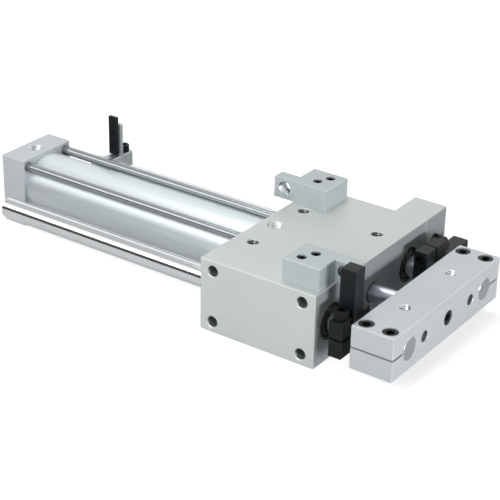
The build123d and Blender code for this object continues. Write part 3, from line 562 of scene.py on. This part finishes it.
# Threads on the tie rods and the shock absorber
tie_places = [aimed((cap_front_x - 0.2 * mm, y, axis_z + z), (1, 0, 0))
              for y in (-tie_rod_reach, tie_rod_reach) for z in (-tie_rod_reach, tie_rod_reach)]
tie_thread = ridged_sleeve(
    inner_r=4.0 * mm, outer_r=4.12 * mm, length=5.2 * mm, pitch=1.05 * mm, wall=0.04 * mm)
set_out(tie_thread, "tie_rod_threads", tie_places, "base", worn_thread_finish)
shock_thread = ridged_sleeve(
    inner_r=6.36 * mm, outer_r=6.62 * mm, length=16 * mm, pitch=1.27 * mm, wall=0.04 * mm, vertices=48)
set_out(shock_thread, "shock_rear_thread", [aimed((shock_tail_x, shock_y, shock_z), (-1, 0, 0))],
        "base", oxide_finish)

# Knurled sides of the exposed socket heads
stop_heads = [aimed((stop_collar_mid_x, -guide_y - stop_screw_reach, axis_z + stop_head_seat), (0, 0, 1)),
              aimed((stop_collar_mid_x, guide_y + stop_head_seat, axis_z + stop_screw_reach), (0, 1, 0))]
stop_knurl = knurled_band(radius=6.0 * mm, length=7.2 * mm, teeth=34, depth=0.2 * mm)
set_out(stop_knurl, "stop_screw_knurls", stop_heads, "carriage", oxide_finish)

# Screw heads that stand for the plain ones, each on the seat of the screw that it replaces
near_screws = [(near_bracket_x - u, near_bracket_y - v) for u, v in bracket_screw_spots]
far_screws = [(far_bracket_x + u, far_bracket_y + v) for u, v in bracket_screw_spots]
bracket_heads = set_out(
    socket_head(radius=3.75 * mm, height=8.2 * mm, socket_r=2.4 * mm, socket_depth=4 * mm), "bracket_screw_heads",
    [aimed((x, y, bracket_seat), (0, 0, 1)) for x, y in near_screws + far_screws], "base",
    oxide_finish)
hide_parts("bracket_screws")
centre_head = set_out(
    socket_head(radius=6.0 * mm, height=10.3 * mm, socket_r=3.6 * mm, socket_depth=4 * mm), "plate_centre_screw_head",
    [aimed((centre_head_seat_x, 0, axis_z), (1, 0, 0))], "carriage", oxide_finish)
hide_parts("plate_centre_screw")

# Rubber lips round the rods
wiper_sink = 3.1 * mm
lip_places = [aimed((x, y, axis_z), (way, 0, 0))
              for x, way in ((front_x - wiper_sink, 1), (rear_x + wiper_sink, -1)) for y in (-guide_y, guide_y)]
guide_lip = lip_ring(inner_r=9.6 * mm, outer_r=12.6 * mm, height=1.6 * mm)
set_out(guide_lip, "guide_wiper_lips", lip_places, "base", rubber_finish)
rod_lip = lip_ring(inner_r=8.0 * mm, outer_r=8.7 * mm, height=0.5 * mm)
set_out(rod_lip, "rod_wiper_lip", [aimed((front_x, 0, axis_z), (1, 0, 0))], "base", rubber_finish)

# Floor, light and camera
def make_floor(grey, seen_glow, mirrored_glow):
    clear_selection()
    bpy.ops.mesh.primitive_plane_add(size=8, location=(0, 0, -0.0003))
    floor = bpy.context.object
    floor.name = "studio_floor"
    material = bpy.data.materials.new("Studio floor")
    material.use_nodes = True
    tree = material.node_tree
    tree.nodes.clear()
    paper = tree.nodes.new("ShaderNodeBsdfDiffuse")
    paper.inputs["Color"].default_value = (grey, grey, grey, 1)
    glow = tree.nodes.new("ShaderNodeEmission")
    glow.inputs["Color"].default_value = (1, 1, 1, 1)
    path = tree.nodes.new("ShaderNodeLightPath")
    seen = maths(tree, "MAXIMUM", path.outputs["Is Camera Ray"], path.outputs["Is Transmission Ray"])
    seen = maths(tree, "MULTIPLY", seen, seen_glow)
    shone = maths(tree, "MULTIPLY", path.outputs["Is Glossy Ray"], mirrored_glow)
    tree.links.new(maths(tree, "MAXIMUM", seen, shone), glow.inputs["Strength"])
    total = tree.nodes.new("ShaderNodeAddShader")
    output = tree.nodes.new("ShaderNodeOutputMaterial")
    tree.links.new(paper.outputs[0], total.inputs[0])
    tree.links.new(glow.outputs[0], total.inputs[1])
    tree.links.new(total.outputs[0], output.inputs["Surface"])
    floor.data.materials.append(material)


def make_world(fill):
    world = bpy.data.worlds.new("White studio")
    bpy.context.scene.world = world
    world.use_nodes = True
    tree = world.node_tree
    back = tree.nodes["Background"]
    back.inputs["Color"].default_value = (1, 1, 1, 1)
    path = tree.nodes.new("ShaderNodeLightPath")
    seen = maths(tree, "MAXIMUM", path.outputs["Is Camera Ray"], path.outputs["Is Glossy Ray"])
    seen = maths(tree, "MAXIMUM", seen, path.outputs["Is Transmission Ray"])
    tree.links.new(spread(tree, seen, 0, 1, fill, 1), back.inputs["Strength"])


def soft_lamp(name, place, target, size, power):
    light = bpy.data.lights.new(name, "AREA")
    light.shape = "RECTANGLE"
    light.size, light.size_y = size
    light.energy = power
    lamp = bpy.data.objects.new(name, light)
    lamp.location = place
    lamp.rotation_euler = (Vector(target) - Vector(place)).to_track_quat("-Z", "Y").to_euler()
    bpy.context.scene.collection.objects.link(lamp)


def studio_card(name, place, size, tilt, glow):
    """A card of one grey that only shows in polished metal, as a studio's walls and flags do."""
    clear_selection()
    bpy.ops.mesh.primitive_plane_add(size=1, location=(0, 0, 0))
    card = bpy.context.object
    card.name = name
    pick(card)
    bpy.ops.transform.resize(value=(size[0], size[1], 1))
    bpy.ops.transform.translate(value=place)
    card.rotation_euler = (tilt, 0, 0)
    bpy.ops.object.transform_apply(location=True, rotation=True, scale=True)
    material = bpy.data.materials.new(name)
    material.use_nodes = True
    tree = material.node_tree
    tree.nodes.clear()
    shine = tree.nodes.new("ShaderNodeEmission")
    shine.inputs["Strength"].default_value = glow
    output = tree.nodes.new("ShaderNodeOutputMaterial")
    tree.links.new(shine.outputs[0], output.inputs["Surface"])
    card.data.materials.append(material)
    card.visible_camera = False
    card.visible_diffuse = False
    card.visible_shadow = False


make_floor(grey=0.55, seen_glow=0.7, mirrored_glow=0.12)
make_world(fill=0.2)
studio_card("dark_flag", place=(0, -1.8, 0.42), size=(6, 0.84), tilt=pi / 2, glow=0.06)
studio_card("ceiling", place=(0, 0.1, 3.0), size=(6, 2.8), tilt=0, glow=0.55)
soft_lamp("strip", place=(-0.58, -0.95, 0.72), target=(-0.3, 0, 0.03), size=(1.2, 0.46), power=2.9)
soft_lamp("key", place=(0.02, -1.0, 0.55), target=(0.0, 0, 0.03), size=(0.2, 0.5), power=6.3)
soft_lamp("top", place=(-0.42, 0.3, 1.5), target=(-0.12, 0, 0.04), size=(0.9, 0.5), power=9.0)
soft_lamp("front", place=(1.3, -0.2, 0.12), target=(0.12, 0, 0.03), size=(0.6, 0.18), power=12.5)
soft_lamp("far", place=(-0.1, 1.8, 0.4), target=(-0.1, 0, 0.03), size=(1.0, 0.4), power=2.4)

camera_data = bpy.data.cameras.new("photo_camera")
camera_data.lens = 112.158
camera_data.sensor_width = 36
camera = bpy.data.objects.new("photo_camera", camera_data)
camera.location = (0.600213, -0.960761, 0.621874)
camera.rotation_euler = (radians(63.25087), radians(-1.14943), radians(35.29675))
bpy.context.scene.collection.objects.link(camera)
bpy.context.scene.camera = camera
bpy.context.scene.view_settings.view_transform = "Standard"
